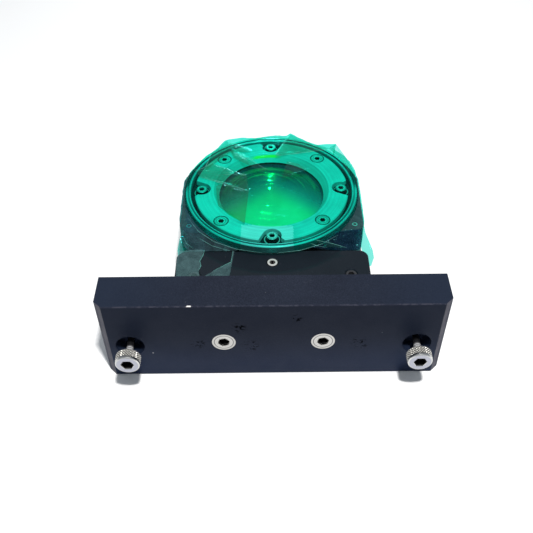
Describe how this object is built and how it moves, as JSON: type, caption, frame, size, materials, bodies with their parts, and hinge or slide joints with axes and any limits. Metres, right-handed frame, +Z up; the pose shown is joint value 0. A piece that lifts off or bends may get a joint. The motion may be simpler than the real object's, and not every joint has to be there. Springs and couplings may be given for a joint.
{
  "type": "laser focusing lens assembly",
  "caption": "Drawer-mounted focusing lens: a dark front plate with captive screws carries a round lens head, its lens held under a notched bright ring and protective film.",
  "frame": {"origin": "on the optical axis at the foot of the carrier, in the mouth of the beam exit bore", "axes": "+Z up the optical axis towards the lens, +X to the right seen from the front plate, -Y towards the front plate"},
  "size_m": [0.15, 0.1339, 0.046],
  "materials": {
    "plate": "fine matt black anodising with a cool cast",
    "carrier": "fine matt black anodising",
    "yoke": "black anodising",
    "barrel": "black anodising",
    "cell": "black anodising",
    "rim": "fine turned",
    "ring": "fine turned",
    "lens": "polished amber optic with very fine turning lines",
    "seal": "matt",
    "bright_screw": "plain stainless",
    "captive_steel": "plain stainless, knurled head",
    "black_screw": "black oxide",
    "film": "thin clear green film with folds"
  },
  "bodies": {
    "assembly": {"front_plate": "plate", "carrier": "carrier", "lens_yoke": "yoke", "lens_barrel": "barrel", "rim_ring": "rim", "lens_cell": "cell", "retaining_ring": "ring", "focusing_lens": "lens", "lens_seal_lower": "seal", "lens_seal_upper": "seal", "barrel_screw_front": "bright_screw", "barrel_screw_right": "bright_screw", "barrel_screw_rear": "bright_screw", "barrel_screw_left": "bright_screw", "retaining_screw_front_left": "bright_screw", "retaining_screw_front_right": "bright_screw", "retaining_screw_rear_left": "bright_screw", "retaining_screw_rear_right": "bright_screw", "plate_screw_left": "bright_screw", "plate_screw_right": "bright_screw", "block_set_screw_centre": "bright_screw", "block_set_screw_left": "black_screw", "block_set_screw_right": "black_screw", "yoke_set_screw_left": "black_screw", "yoke_set_screw_right": "black_screw", "base_screw_front_left": "black_screw", "base_screw_front_right": "black_screw", "base_screw_rear_left": "black_screw", "base_screw_rear_right": "black_screw", "protective_film": "film"},
    "captive_left": {"captive_screw_left": "captive_steel"},
    "captive_right": {"captive_screw_right": "captive_steel"}
  },
  "joints": [
    {"name": "captive_left_slide", "type": "slide", "parent": "assembly", "child": "captive_left", "axis": [0, 1, 0], "range_m": [0, 0.0111]},
    {"name": "captive_right_slide", "type": "slide", "parent": "assembly", "child": "captive_right", "axis": [0, 1, 0], "range_m": [0, 0.0111]}
  ]
}
